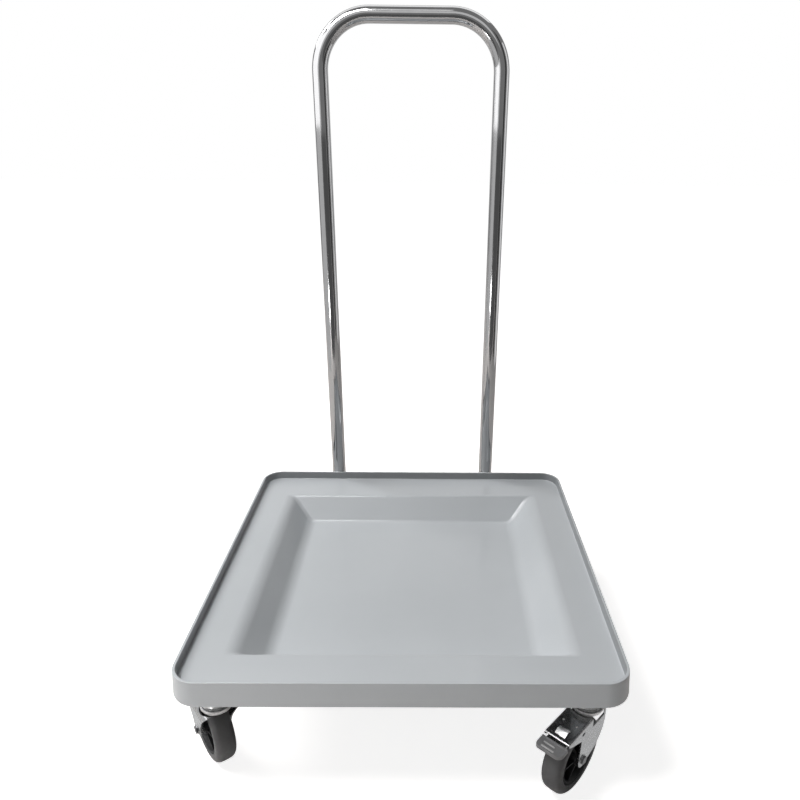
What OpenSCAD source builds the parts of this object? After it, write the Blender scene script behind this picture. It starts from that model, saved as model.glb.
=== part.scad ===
// Dish rack dolly: a square moulded tray with a raised rim and a sunken well, carried on
// four swivel casters and pushed by a bent tube handle that stands in two sockets behind the rim.
// Millimetres, +Z up. The origin lies on the floor under the middle of the tray, and the
// handle stands at the back, on the +Y side.

/* [Tray] */
// Outside width of the rim, left to right
tray_w = 540; // [500:1:620]
// Outside depth of the rim, front to back
tray_d = 540; // [500:1:620]
// Height of the rim's top edge above the floor
rim_z = 176; // [170:1:200]
// Height of the rim above the deck that the rack stands on
rim_h = 13; // [8:0.5:16]
// Thickness of the rim at its top edge
rim_t = 3.8; // [2.5:0.1:5]
// Radius of the rim's outside corners, seen from above
corner_r = 32; // [26:1:45]
// Height of the skirt, from the rim's top edge to its bottom edge
skirt_h = 33.5; // [30:0.5:45]
// How far the skirt flares outwards on the way down
skirt_flare = 2.5; // [0:0.1:4]
// Wall thickness of the deck, well and skirt
wall_t = 4; // [3:0.1:5]

/* [Well] */
// Width of the well between its left and right walls, at deck level
well_w = 410; // [360:1:420]
// Depth of the well between its front and back walls, at deck level
well_d = 408; // [360:1:420]
// How far the well's floor lies below the deck
well_depth = 37; // [30:0.5:38]
// Lean of the well's walls from upright, in degrees
well_draft = 33; // [25:1:36]
// Radius of the soft shoulder and foot of the left and right walls
side_round_r = 36; // [20:1:38]
// Radius of the crisp shoulder and foot of the front and back walls
end_round_r = 3; // [2:0.5:8]
// Radius of the well's corners, seen from above
well_corner_r = 10; // [6:1:20]

/* [Underside] */
// Thickness of the moulded ribs
rib_t = 3; // [2:0.5:4]
// Spacing of the ribs
rib_pitch = 62; // [45:1:90]
// Depth of the ribs under the deck
deck_rib_h = 12; // [6:1:16]
// Depth of the ribs under the well's floor
well_rib_h = 5; // [3:0.5:6]

/* [Handle] */
// Overall height of the dolly, floor to the top of the handle
handle_top_z = 930; // [800:1:1000]
// Spacing of the handle's legs, centre to centre
handle_w = 274; // [220:1:340]
// Outside diameter of the handle tube
tube_d = 24; // [19:0.5:28]
// Wall thickness of the handle tube
tube_t = 1.5; // [1:0.1:2.5]
// Bend radius of the handle tube, to its centre line
bend_r = 76; // [55:1:90]
// Depth that the tube goes into its socket
socket_depth = 31; // [26:1:34]
// Wall thickness of the socket round the tube
socket_t = 5.5; // [4:0.1:8]
// Diameter of the bolt that holds each leg
leg_bolt_d = 6; // [5:0.5:8]

/* [Casters] */
// Wheel diameter over the tyre
wheel_d = 100; // [90:1:103]
// Width of the tyre
tyre_w = 26; // [20:0.5:26]
// Diameter of the wheel core, where the tyre begins
core_d = 69; // [58:1:76]
// Rounding of the tyre's shoulders
tyre_round_r = 7.5; // [3:0.5:9]
// Horizontal distance from the swivel axis to the wheel's axle
trail = 30; // [26:1:36]
// Distance of each swivel axis from the rim's left or right edge
caster_inset_x = 41; // [36:1:46]
// Distance of each swivel axis from the rim's front or back edge
caster_inset_y = 42; // [36:1:46]
// Radius of the fork's round head
head_r = 20.5; // [19.5:0.5:22]
// Half the width of the brake fork over its legs
fork_half_w = 17.4; // [17:0.1:20]
// Half the width of the plain fork over the tops of its legs
free_half_w = 24.5; // [23:0.5:26]
// Thickness of the fork's sheet steel
fork_t = 2.3; // [2:0.1:2.8]
// Diameter of the kingpin bolt
kingpin_d = 12; // [10:0.5:14]
// Number of balls in each swivel race
ball_count = 14; // [8:1:18]
// Diameter of the balls
ball_d = 5; // [4:0.5:5]
// Diameter of the axle bolt
axle_d = 6; // [5:0.5:8]

/* [Brake] */
// Reach of the brake fork's top plate from the swivel axis
plate_reach = 69.5; // [66:0.5:74]
// Distance from the end of the top plate to the tip of the pedal
pedal_out = 18.5; // [15:0.5:26]
// Width of the pedal
pedal_w = 35; // [28:1:36]
// Thickness of the pedal's plastic pad
pedal_t = 5.5; // [5:0.5:8]
// Downward slope of the pedal, in degrees
pedal_slope = 4; // [0:1:18]

/* [Hidden] */

// Colours
tray_grey = [0.70, 0.72, 0.73];
bright_steel = [0.78, 0.78, 0.78];
zinc = [0.66, 0.67, 0.67];
tyre_grey = [0.33, 0.33, 0.33];
core_black = [0.07, 0.07, 0.07];
pedal_grey = [0.42, 0.42, 0.42];

// Clearances
running_gap = 0.05;
free_gap = 0.3;
cut = 1;

// Tray levels, measured from the floor
deck_z = rim_z - rim_h;
deck_under_z = deck_z - wall_t;
skirt_z = rim_z - skirt_h;
well_floor_z = deck_z - well_depth;
well_under_z = well_floor_z - wall_t;
rim_edge_r = 1.2;
rim_draft = 0.6;
rim_foot_r = 1.5;

// Well walls: their slope from level, and the outward growth that keeps the wall's thickness
wall_angle = 90 - well_draft;
well_skin = wall_t * (1 - sin(well_draft)) / cos(well_draft);
arc_steps = 8;
crisp_steps = 3;
corner_steps = 6;

// Handle: sockets stand behind the skirt, and the tube just bites into the rim's outer edge
socket_bite = 0.5;
handle_y = tray_d / 2 + tube_d / 2 - socket_bite;
socket_r = tube_d / 2 + socket_t;
socket_top_z = rim_z - 15.5;
tube_end_z = socket_top_z - socket_depth;
socket_floor_t = 4;
socket_z = tube_end_z - socket_floor_t;
drain_d = 6;
bar_z = handle_top_z - tube_d / 2;
leg_bolt_z = tube_end_z + 13;
bolt_head_t = 4;
nut_t = 5;
nut_pad_r = 8;
nut_pad_y = tray_d / 2 - 8;
nut_room = nut_t + 4;

// Caster levels, measured from the floor
wheel_r = wheel_d / 2;
tyre_gap = 1.7;
plate_under_z = wheel_d + tyre_gap;
plate_z = plate_under_z + fork_t;
ball_r = ball_d / 2;
ball_z = plate_z + ball_r + 0.2;
race_under_z = ball_z + ball_r + free_gap;
dish_z = race_under_z + 0.5;
boss_z = rim_z - 58;
dish_in_r = head_r - fork_t;
race_r = dish_in_r - free_gap;
ball_pitch_r = race_r - ball_r - 0.7;
collar_r = race_r - 2.9;
kingpin_r = kingpin_d / 2;
pin_hole_r = kingpin_r + running_gap;
kingpin_head_r = 10;
kingpin_head_t = 2.4;
insert_r = 9;
insert_h = 28;
boss_r = 18;
axle_r = axle_d / 2;
axle_hole_r = axle_r + running_gap;
hex_r = 5.6;
axle_head_t = 2.2;
axle_nut_t = 2.6;
sleeve_r = 5;
leg_inner = fork_half_w - fork_t;
hub_half = leg_inner - 1.7;
sleeve_half = hub_half + 0.7;
hub_r = 11;
core_r = core_d / 2;
core_half = tyre_w / 2 - 1;
core_lip = 3.5;
web_half = 3;
spoke_count = 6;
spoke_t = 2.5;
leg_end_r = 10.5;
splay = 5;
free_plate_reach = 39;
bowl_r = 6;
brake_bend_r = fork_t + 0.6;
free_bend_r = 8;
free_foot_half = free_half_w - free_bend_r * (1 - cos(splay))
    - (plate_z - free_bend_r * (1 + sin(splay)) - wheel_r) * tan(splay);
seat_r = 6.5;
seat_lift = seat_r * tan(splay);

// Brake: the lever's pivot sits under the top plate, and the slot shows the spring above it
pivot_x = plate_reach - 12.5;
pivot_z = plate_under_z - 3.7;
pivot_pin_r = 2;
barrel_r = 3.2;
barrel_half = leg_inner - 1.2;
blade_t = 2;
blade_half = 13;
blade_mid = -0.4;
pad_gap = 1.5;
pad_corner_r = 10;
rib_len = 17;
pedal_rib_w = 2.4;
pedal_rib_h = 1.2;
pedal_groove_w = 1.4;
pedal_groove_h = 0.8;
shoe_half = 11;
shoe_nose_r = 1.5;
shoe_reach = 3.5;
shoe_lag = 45;
shoe_aim = atan2(wheel_r - pivot_z, trail - pivot_x) + shoe_lag;
slot_x0 = plate_reach - 21;
slot_len = 15.5;
slot_half = 7.6;
spring_half = 7;
spring_t = 1;
spring_foot = 8.5;
spring_foot_half = 12;
pip_r = 1.6;
pip_x = plate_reach - 30;

// Where the swivel axes stand, measured from the tray's middle
caster_x = tray_w / 2 - caster_inset_x;
caster_y = tray_d / 2 - caster_inset_y;

// Where each caster stands, the way it trails, and whether it has a brake
// [name, x sign, y sign, trailing direction in degrees from +X, braked]
CASTERS = [
    ["front_left", -1, -1, 127, false],
    ["front_right", 1, -1, 227.5, true],
    ["rear_left", -1, 1, 300, true],
    ["rear_right", 1, 1, 307, false]
];

$fn = 64;

// Half the well's size at height z, for walls that meet deck and floor with radius r
function tangent_len(r) = r * tan(wall_angle / 2);
function well_half(z, half, r) =
    let (down = deck_z - z, up = z - well_floor_z, arc_h = r * (1 - cos(wall_angle)))
    down <= 0 ? half + tangent_len(r)
    : down < arc_h ? half + tangent_len(r) - r * sin(acos(1 - down / r))
    : up <= 0 ? half - well_depth * tan(well_draft) - tangent_len(r)
    : up < arc_h ? half - well_depth * tan(well_draft) - tangent_len(r) + r * sin(acos(1 - up / r))
    : half - down * tan(well_draft);

// Heights of the rings that the well is lofted through, from floor to deck
function arc_rise(r, steps) = [for (i = [1:steps]) r * (1 - cos(wall_angle * i / steps))];
well_levels = concat(
    [well_floor_z],
    [for (h = arc_rise(end_round_r, crisp_steps)) well_floor_z + h],
    [for (h = arc_rise(side_round_r, arc_steps)) if (h > arc_rise(end_round_r, crisp_steps)[2] + 0.2)
        well_floor_z + h],
    [for (i = [arc_steps - 1:-1:0]) let (h = arc_rise(side_round_r, arc_steps)[i])
        if (h > arc_rise(end_round_r, crisp_steps)[2] + 0.2) deck_z - h],
    [for (i = [crisp_steps - 1:-1:0]) deck_z - arc_rise(end_round_r, crisp_steps)[i]],
    [deck_z]
);

// One rounded rectangle of the loft, as points at height z
function ring(a, b, r, z) = [
    for (q = [0:3]) for (i = [0:corner_steps])
        let (t = 90 * q + 90 * i / corner_steps,
             sx = (q == 0 || q == 3) ? 1 : -1,
             sy = (q < 2) ? 1 : -1)
        [sx * (a - r) + r * cos(t), sy * (b - r) + r * sin(t), z]
];

// Closed skin through a list of rings with equal counts of points
module loft(rings) {
    n = len(rings[0]);
    last = len(rings) - 1;
    polyhedron(
        points = [for (g = rings) each g],
        faces = concat(
            [[for (i = [0:n - 1]) i]],
            [for (k = [0:last - 1]) for (i = [0:n - 1])
                let (j = (i + 1) % n) [k * n + i, (k + 1) * n + i, (k + 1) * n + j]],
            [for (k = [0:last - 1]) for (i = [0:n - 1])
                let (j = (i + 1) % n) [k * n + i, (k + 1) * n + j, k * n + j]],
            [[for (i = [n - 1:-1:0]) last * n + i]]
        )
    );
}

// The well's shape, grown outwards by skin and lowered by drop, from its floor up past the deck
module well_form(skin, drop, over) {
    rings = concat(
        [for (z = well_levels)
            ring(well_half(z, well_w / 2, side_round_r) + skin,
                 well_half(z, well_d / 2, end_round_r) + skin,
                 well_corner_r + skin, z - drop)],
        over > 0
            ? [ring(well_half(deck_z, well_w / 2, side_round_r) + skin,
                    well_half(deck_z, well_d / 2, end_round_r) + skin,
                    well_corner_r + skin, deck_z - drop + over)]
            : []
    );
    loft(rings);
}

// Section through the rim and skirt: x is outwards from the rim's top outer edge, y is height
rim_section = [
    [-rim_edge_r, rim_z],
    [-rim_edge_r * 0.4, rim_z - rim_edge_r * 0.2],
    [0, rim_z - rim_edge_r],
    [skirt_flare, skirt_z + rim_edge_r],
    [skirt_flare - rim_edge_r, skirt_z],
    [skirt_flare - wall_t + rim_edge_r / 2, skirt_z],
    [skirt_flare - wall_t, skirt_z + rim_edge_r],
    [-wall_t, deck_under_z],
    [-corner_r / 2, deck_under_z],
    [-corner_r / 2, deck_z],
    [-rim_t - rim_draft - rim_foot_r, deck_z],
    [-rim_t - rim_draft, deck_z + rim_foot_r],
    [-rim_t, rim_z - rim_edge_r],
    [-rim_t + rim_edge_r, rim_z]
];

// Straight run of the section, centred on the origin and facing +Y
module rim_side(len) {
    rotate([90, 0, 90])
        linear_extrude(height = len, center = true)
            polygon(rim_section);
}

// Quarter turn of the section round an outside corner
module rim_corner() {
    rotate_extrude(angle = 90)
        translate([corner_r, 0])
            polygon(rim_section);
}

module rim_and_skirt() {
    for (side = [0, 180])
        rotate([0, 0, side])
            translate([0, tray_d / 2, 0])
                rim_side(tray_w - 2 * corner_r);
    for (side = [90, 270])
        rotate([0, 0, side])
            translate([0, tray_w / 2, 0])
                rim_side(tray_d - 2 * corner_r);
    for (q = [0:3])
        let (sx = (q == 0 || q == 3) ? 1 : -1, sy = (q < 2) ? 1 : -1)
            translate([sx * (tray_w / 2 - corner_r), sy * (tray_d / 2 - corner_r), 0])
                rotate([0, 0, 90 * q])
                    rim_corner();
}

module deck_plate() {
    inset = corner_r / 2;
    translate([-tray_w / 2 + inset, -tray_d / 2 + corner_r, deck_under_z])
        cube([tray_w - 2 * inset, tray_d - 2 * corner_r, wall_t]);
    translate([-tray_w / 2 + corner_r, -tray_d / 2 + inset, deck_under_z])
        cube([tray_w - 2 * corner_r, tray_d - 2 * inset, wall_t]);
    for (sx = [-1, 1])
        for (sy = [-1, 1])
            translate([sx * (tray_w / 2 - corner_r), sy * (tray_d / 2 - corner_r), deck_under_z])
                cylinder(r = corner_r - inset, h = wall_t);
}

// Ribs between the well's wall and the skirt, on all four sides
module deck_ribs() {
    reach = 3;
    for (side = [0:3]) {
        across = side % 2 == 0 ? tray_w : tray_d;
        out = side % 2 == 0 ? tray_d / 2 : tray_w / 2;
        inner = (side % 2 == 0 ? well_d : well_w) / 2 - 8;
        count = floor((across / 2 - 80) / rib_pitch);
        rotate([0, 0, 90 * side])
            for (i = [-count:count])
                translate([i * rib_pitch - rib_t / 2, inner, deck_under_z - deck_rib_h])
                    cube([rib_t, out - inner - reach / 2, deck_rib_h + 1]);
    }
}

// Grid of low ribs under the well's floor
module well_ribs() {
    half_w = well_w / 2 - well_depth * tan(well_draft) - side_round_r / 2;
    half_d = well_d / 2 - well_depth * tan(well_draft) - end_round_r;
    count = floor((half_w - 20) / rib_pitch);
    for (i = [-count:count]) {
        translate([i * rib_pitch - rib_t / 2, -half_d, well_under_z - well_rib_h])
            cube([rib_t, 2 * half_d, well_rib_h + 1]);
        translate([-half_w, i * rib_pitch - rib_t / 2, well_under_z - well_rib_h])
            cube([2 * half_w, rib_t, well_rib_h + 1]);
    }
}

// Round boss that a caster's insert is pressed into, with webs to the deck's corner
module caster_boss() {
    web_top = deck_under_z + 1;
    web_h = web_top - skirt_z;
    web_len = tray_w / 2 - caster_x + 1;
    web_len_y = tray_d / 2 - caster_y + 1;
    translate([0, 0, boss_z])
        cylinder(r = boss_r, h = web_top - boss_z);
    translate([0, -rib_t / 2, skirt_z + 1])
        cube([web_len - wall_t / 2, rib_t, web_h - 1]);
    translate([-rib_t / 2, 0, skirt_z + 1])
        cube([rib_t, web_len_y - wall_t / 2, web_h - 1]);
    rotate([0, 0, 225])
        translate([0, -rib_t / 2, skirt_z + 1])
            cube([boss_r + 12, rib_t, web_h - 1]);
}

// Socket for one leg of the handle, joined to the back of the skirt
module handle_socket() {
    back = tray_d / 2 - 1;
    translate([0, handle_y, socket_z])
        cylinder(r = socket_r, h = socket_top_z - socket_z);
    translate([-socket_r, back, socket_z])
        cube([2 * socket_r, handle_y - back, socket_top_z - socket_z]);
    translate([0, nut_pad_y, leg_bolt_z])
        rotate([-90, 0, 0])
            cylinder(r = nut_pad_r, h = handle_y - nut_pad_y - tube_d / 2);
}

module tray() {
    color(tray_grey)
        difference() {
            union() {
                rim_and_skirt();
                deck_plate();
                well_form(well_skin, wall_t, 1);
                deck_ribs();
                well_ribs();
                for (c = CASTERS)
                    translate([c[1] * caster_x, c[2] * caster_y, 0])
                        mirror([c[1] < 0 ? 1 : 0, 0, 0])
                            mirror([0, c[2] < 0 ? 1 : 0, 0])
                                caster_boss();
                for (s = [-1, 1])
                    translate([s * handle_w / 2, 0, 0])
                        handle_socket();
            }
            well_form(0, 0, cut);
            for (c = CASTERS)
                translate([c[1] * caster_x, c[2] * caster_y, boss_z - cut])
                    cylinder(r = insert_r + running_gap, h = insert_h + cut + 1);
            for (s = [-1, 1]) {
                translate([s * handle_w / 2, handle_y, tube_end_z])
                    cylinder(r = tube_d / 2 + running_gap, h = rim_z - tube_end_z + cut);
                translate([s * handle_w / 2, handle_y, socket_z - cut])
                    cylinder(r = drain_d / 2, h = socket_floor_t + 2 * cut);
                translate([s * handle_w / 2, nut_pad_y - cut, leg_bolt_z])
                    rotate([-90, 0, 0])
                        cylinder(r = leg_bolt_d / 2 + running_gap, h = 2 * socket_r + 20);
                translate([s * handle_w / 2, nut_pad_y - nut_room, leg_bolt_z])
                    rotate([-90, 0, 0])
                        cylinder(r = nut_pad_r, h = nut_room);
            }
        }
}

// Solid U of the handle: radius r, with the legs' lower ends at bottom_z
module handle_form(r, bottom_z) {
    bend_z = bar_z - bend_r;
    for (s = [-1, 1]) {
        translate([s * handle_w / 2, 0, bottom_z])
            cylinder(r = r, h = bend_z - bottom_z);
        translate([s * (handle_w / 2 - bend_r), 0, bend_z])
            mirror([s < 0 ? 1 : 0, 0, 0])
                rotate([90, 0, 0])
                    rotate_extrude(angle = 90)
                        translate([bend_r, 0])
                            circle(r = r);
    }
    translate([-handle_w / 2 + bend_r, 0, bar_z])
        rotate([0, 90, 0])
            cylinder(r = r, h = handle_w - 2 * bend_r);
}

module handle() {
    color(bright_steel)
        translate([0, handle_y, 0])
            difference() {
                handle_form(tube_d / 2, tube_end_z);
                handle_form(tube_d / 2 - tube_t, tube_end_z - cut);
                for (s = [-1, 1])
                    translate([s * handle_w / 2, 0, leg_bolt_z])
                        rotate([90, 0, 0])
                            cylinder(r = leg_bolt_d / 2 + running_gap, h = tube_d + 2 * cut, center = true);
            }
}

// Bolts from behind through socket and leg, with their heads on the socket's back
module handle_bolts() {
    head_y = handle_y + socket_r;
    color(zinc)
        for (s = [-1, 1])
            translate([s * handle_w / 2, 0, leg_bolt_z]) {
                translate([0, nut_pad_y - nut_t - 2, 0])
                    rotate([-90, 0, 0])
                        cylinder(r = leg_bolt_d / 2, h = head_y - nut_pad_y + nut_t + 2);
                translate([0, head_y, 0])
                    rotate([-90, 0, 0])
                        cylinder(r = leg_bolt_d * 0.95, h = bolt_head_t, $fn = 6);
            }
}

module handle_nuts() {
    color(zinc)
        for (s = [-1, 1])
            translate([s * handle_w / 2, nut_pad_y, leg_bolt_z])
                rotate([90, 0, 0])
                    difference() {
                        cylinder(r = leg_bolt_d * 0.95, h = nut_t, $fn = 6);
                        translate([0, 0, -cut])
                            cylinder(r = leg_bolt_d / 2 + running_gap, h = nut_t + 2 * cut);
                    }
}

// Steel sleeves moulded into the corner bosses, one for each kingpin
module caster_inserts() {
    color(zinc)
        for (c = CASTERS)
            translate([c[1] * caster_x, c[2] * caster_y, boss_z])
                difference() {
                    cylinder(r = insert_r, h = insert_h);
                    translate([0, 0, -cut])
                        cylinder(r = pin_hole_r, h = insert_h + 2 * cut);
                }
}

// Caster pieces: the swivel axis stands on the origin, and the wheel trails along +X

// Fixed upper race, a dished pressing clamped between the boss and the balls
module upper_race() {
    color(zinc)
        rotate_extrude()
            polygon([
                [pin_hole_r, race_under_z],
                [race_r - 0.6, race_under_z],
                [race_r, race_under_z + 0.6],
                [race_r, race_under_z + fork_t - 0.5],
                [race_r - 1, race_under_z + fork_t],
                [collar_r + 1.5, race_under_z + fork_t],
                [collar_r, boss_z - 3],
                [collar_r, boss_z],
                [pin_hole_r, boss_z]
            ]);
}

// Kingpin bolt that hangs the fork and screws up into the boss
module kingpin() {
    head_top = plate_under_z - free_gap;
    color(zinc) {
        translate([0, 0, head_top - kingpin_head_t])
            cylinder(r1 = kingpin_head_r - 1, r2 = kingpin_head_r, h = kingpin_head_t);
        translate([0, 0, head_top])
            cylinder(r = kingpin_r, h = boss_z + insert_h - head_top);
    }
}

module ball_race() {
    color(bright_steel)
        for (i = [0:ball_count - 1])
            rotate([0, 0, 360 * i / ball_count])
                translate([ball_pitch_r, 0, ball_z])
                    sphere(r = ball_r);
}

// Outline of a foot of the fork, round the axle, between two angles
function foot_arc(from, to) = [for (t = [from:20:to])
    [trail + leg_end_r * cos(t), wheel_r + leg_end_r * sin(t)]];

// Side view of the brake fork: long top plate, and a leg that sweeps back to the axle
brake_outline = concat(
    [
        [-16, plate_z],
        [-18.3, plate_z - 10],
        [-17.8, plate_z - 23],
        [-15.4, plate_z - 34],
        [-9.6, plate_z - 44],
        [-1.5, plate_z - 52],
        [9, wheel_r - 3]
    ],
    foot_arc(220, 360),
    [
        [trail + leg_end_r, wheel_r + 8],
        [trail + 8.3, plate_z - 18.4],
        [trail + 23.5, plate_z - 12.2],
        [plate_reach - 4.3, plate_z - 7.8],
        [plate_reach, plate_z - 4.5],
        [plate_reach, plate_z]
    ]
);

// Side view of the plain fork: legs that taper and lean back from the head to the axle
plain_outline = concat(
    [
        [-17, plate_z],
        [-12, plate_z - 7],
        [-5.2, plate_z - 15],
        [5, plate_z - 29],
        [13.9, plate_z - 42]
    ],
    foot_arc(190, 350),
    [
        [free_plate_reach, wheel_r + 8],
        [free_plate_reach, plate_z]
    ]
);

// End view of the bent sheet, right half: web on top, rounded bend, and a leg that leans in
module sheet_half(half, bend, lean, bottom) {
    run = (plate_z - bend - bottom) / cos(lean);
    mid = [half - bend, plate_z - bend];
    polygon(concat(
        [[0, plate_z]],
        [for (i = [0:5]) let (t = 90 - (90 + lean) * i / 5) mid + bend * [cos(t), sin(t)]],
        [mid + bend * [cos(lean), -sin(lean)] - run * [sin(lean), cos(lean)]],
        [mid + (bend - fork_t) * [cos(lean), -sin(lean)] - run * [sin(lean), cos(lean)]],
        [for (i = [5:-1:0]) let (t = 90 - (90 + lean) * i / 5)
            mid + (bend - fork_t) * [cos(t), sin(t)]],
        [[0, plate_under_z]]
    ));
}

// Sheet bent into legs, then cut to its side view
module bent_sheet(outline, half, bend, lean) {
    front = -head_r;
    run = plate_reach + head_r + cut;
    intersection() {
        translate([front, 0, 0])
            rotate([90, 0, 90])
                linear_extrude(height = run)
                    union() {
                        sheet_half(half, bend, lean, wheel_r - leg_end_r - 2);
                        mirror([1, 0])
                            sheet_half(half, bend, lean, wheel_r - leg_end_r - 2);
                    }
        rotate([90, 0, 0])
            linear_extrude(height = 2 * half + 2 * cut, center = true)
                polygon(outline);
    }
}

// Round dished head, pressed into a bowl that holds the balls
module fork_head() {
    rotate_extrude()
        polygon(concat(
            [[0, plate_under_z]],
            [for (t = [-90:15:0])
                [head_r - bowl_r + bowl_r * cos(t), plate_under_z + bowl_r + bowl_r * sin(t)]],
            [[head_r, dish_z - 0.8], [head_r - 0.8, dish_z], [dish_in_r, dish_z]],
            [for (t = [0:-15:-90])
                [head_r - bowl_r + (bowl_r - fork_t) * cos(t),
                 plate_under_z + bowl_r + (bowl_r - fork_t) * sin(t)]],
            [[0, plate_z]]
        ));
}

// Flat seats pressed into both legs round the axle, from the sleeve's ends to seat_out
module axle_seats(seat_out) {
    seat_in = sleeve_half + running_gap;
    for (s = [-1, 1])
        translate([trail, s * (seat_in + seat_out) / 2, wheel_r])
            rotate([90, 0, 0])
                cylinder(r = seat_r, h = seat_out - seat_in, center = true);
}

function seat_out(braked) = braked ? fork_half_w + 0.5 : free_foot_half + seat_lift;

module axle_and_pin_holes(half) {
    translate([0, 0, plate_under_z - cut])
        cylinder(r = pin_hole_r, h = fork_t + 2 * cut);
    translate([trail, 0, wheel_r])
        rotate([90, 0, 0])
            cylinder(r = axle_hole_r, h = 2 * half + 10, center = true);
}

module plain_fork() {
    color(zinc)
        difference() {
            union() {
                fork_head();
                bent_sheet(plain_outline, free_half_w, free_bend_r, splay);
                axle_seats(seat_out(false));
            }
            axle_and_pin_holes(free_half_w);
        }
}

module brake_fork() {
    color(zinc)
        difference() {
            union() {
                fork_head();
                bent_sheet(brake_outline, fork_half_w, brake_bend_r, 0);
                axle_seats(seat_out(true));
                translate([plate_reach - 1.6, -leg_inner - 1, plate_under_z - 1.2])
                    cube([1.6, 2 * leg_inner + 2, 2]);
                for (s = [-1, 1])
                    translate([pip_x, s * 9, plate_z - 0.6])
                        sphere(r = pip_r);
            }
            axle_and_pin_holes(fork_half_w);
            translate([slot_x0, -slot_half, plate_under_z - 2 * cut])
                cube([slot_len, 2 * slot_half, fork_t + 4 * cut]);
            translate([pivot_x, 0, pivot_z])
                rotate([90, 0, 0])
                    cylinder(r = pivot_pin_r + running_gap, h = 2 * fork_half_w + 2 * cut, center = true);
            translate([trail + 3, -fork_half_w - cut, plate_z - 9.4])
                cube([5.5, 2 * fork_half_w + 2 * cut, 1.6]);
        }
}

// Axle bolt along Y, with its head outside the +Y leg
module axle_bolt(seat) {
    color(zinc)
        translate([trail, 0, wheel_r])
            rotate([90, 0, 0]) {
                translate([0, 0, -seat])
                    cylinder(r = axle_r, h = 2 * seat + axle_nut_t + 0.5);
                translate([0, 0, -seat - axle_head_t])
                    cylinder(r = hex_r, h = axle_head_t, $fn = 6);
            }
}

module axle_nut(seat) {
    color(zinc)
        translate([trail, -seat, wheel_r])
            rotate([90, 0, 0])
                difference() {
                    cylinder(r = hex_r, h = axle_nut_t, $fn = 6);
                    translate([0, 0, -cut])
                        cylinder(r = axle_hole_r, h = axle_nut_t + 2 * cut);
                }
}

// Steel sleeve on the axle, which the hub turns on
module axle_sleeve() {
    color(zinc)
        translate([trail, 0, wheel_r])
            rotate([90, 0, 0])
                difference() {
                    cylinder(r = sleeve_r, h = 2 * sleeve_half, center = true);
                    cylinder(r = axle_hole_r, h = 2 * sleeve_half + 2 * cut, center = true);
                }
}

// Moulded wheel core: rim, web with spokes, and hub bored for the sleeve
module wheel_core() {
    color(core_black)
        translate([trail, 0, wheel_r])
            rotate([90, 0, 0])
                difference() {
                    union() {
                        rotate_extrude()
                            polygon([
                                [0, -hub_half], [hub_r - 1.5, -hub_half], [hub_r, -web_half - 2],
                                [hub_r + 3, -web_half],
                                [core_r - core_lip - 2, -web_half], [core_r - core_lip, -core_half],
                                [core_r, -core_half], [core_r, core_half],
                                [core_r - core_lip, core_half], [core_r - core_lip - 2, web_half],
                                [hub_r + 3, web_half],
                                [hub_r, web_half + 2], [hub_r - 1.5, hub_half], [0, hub_half]
                            ]);
                        for (i = [0:spoke_count - 1])
                            rotate([0, 0, 360 * i / spoke_count])
                                translate([hub_r - 2, -spoke_t / 2, -core_half + 2])
                                    cube([core_r - core_lip - hub_r, spoke_t, 2 * core_half - 4]);
                    }
                    cylinder(r = sleeve_r + running_gap, h = 2 * hub_half + 2 * cut, center = true);
                }
}

// Soft tyre bonded round the core, with a slightly crowned tread
module tyre() {
    half = tyre_w / 2;
    flat_half = half - tyre_round_r;
    tread_r = wheel_r - 0.25;
    color(tyre_grey)
        translate([trail, 0, wheel_r])
            rotate([90, 0, 0])
                rotate_extrude($fn = 96)
                    polygon(concat(
                        [[core_r, -core_half], [core_r, -half], [tread_r - tyre_round_r, -half]],
                        [for (t = [-75:15:0])
                            [tread_r - tyre_round_r * (1 - cos(t)), tyre_round_r * sin(t) - flat_half]],
                        [[wheel_r, 0]],
                        [for (t = [0:15:75])
                            [tread_r - tyre_round_r * (1 - cos(t)), tyre_round_r * sin(t) + flat_half]],
                        [[tread_r - tyre_round_r, half], [core_r, half], [core_r, core_half]]
                    ));
}

// Leaf spring: a foot staked under the top plate, and a tongue that arches up through the slot
module brake_spring() {
    foot_z = plate_under_z - spring_t - running_gap;
    tongue_x = slot_x0 + 1;
    tongue_end = slot_x0 + slot_len - 1.5;
    tongue_mid = slot_x0 + slot_len / 2;
    color(bright_steel) {
        translate([slot_x0 - spring_foot, -spring_foot_half, foot_z])
            cube([spring_foot, 2 * spring_foot_half, spring_t]);
        rotate([90, 0, 0])
            linear_extrude(height = 2 * spring_half, center = true)
                polygon([
                    [slot_x0 - 1, foot_z],
                    [tongue_x, foot_z],
                    [tongue_x + 2.4, plate_z - 0.2],
                    [tongue_mid - 0.2, plate_z + 0.4],
                    [tongue_end - 1, plate_z - spring_t - 1.2],
                    [tongue_end, plate_z - 1.6],
                    [tongue_mid, plate_z + 0.4 + spring_t],
                    [tongue_x + 1.6, plate_z - 0.2 + spring_t],
                    [tongue_x - 0.6, foot_z + spring_t],
                    [slot_x0 - 1, foot_z + spring_t]
                ]);
    }
}

module pedal_pin() {
    color(bright_steel)
        translate([pivot_x, 0, pivot_z])
            rotate([90, 0, 0])
                cylinder(r = pivot_pin_r, h = 2 * fork_half_w, center = true);
}

// Blade of the lever, grown by gap, in the pedal's own sloping frame
module lever_blade(gap, out) {
    translate([0, -blade_half - gap, blade_mid - blade_t / 2 - gap])
        cube([out + gap, 2 * (blade_half + gap), blade_t + 2 * gap]);
}

module pedal_frame() {
    translate([pivot_x, 0, pivot_z])
        rotate([0, pedal_slope, 0])
            children();
}

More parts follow.
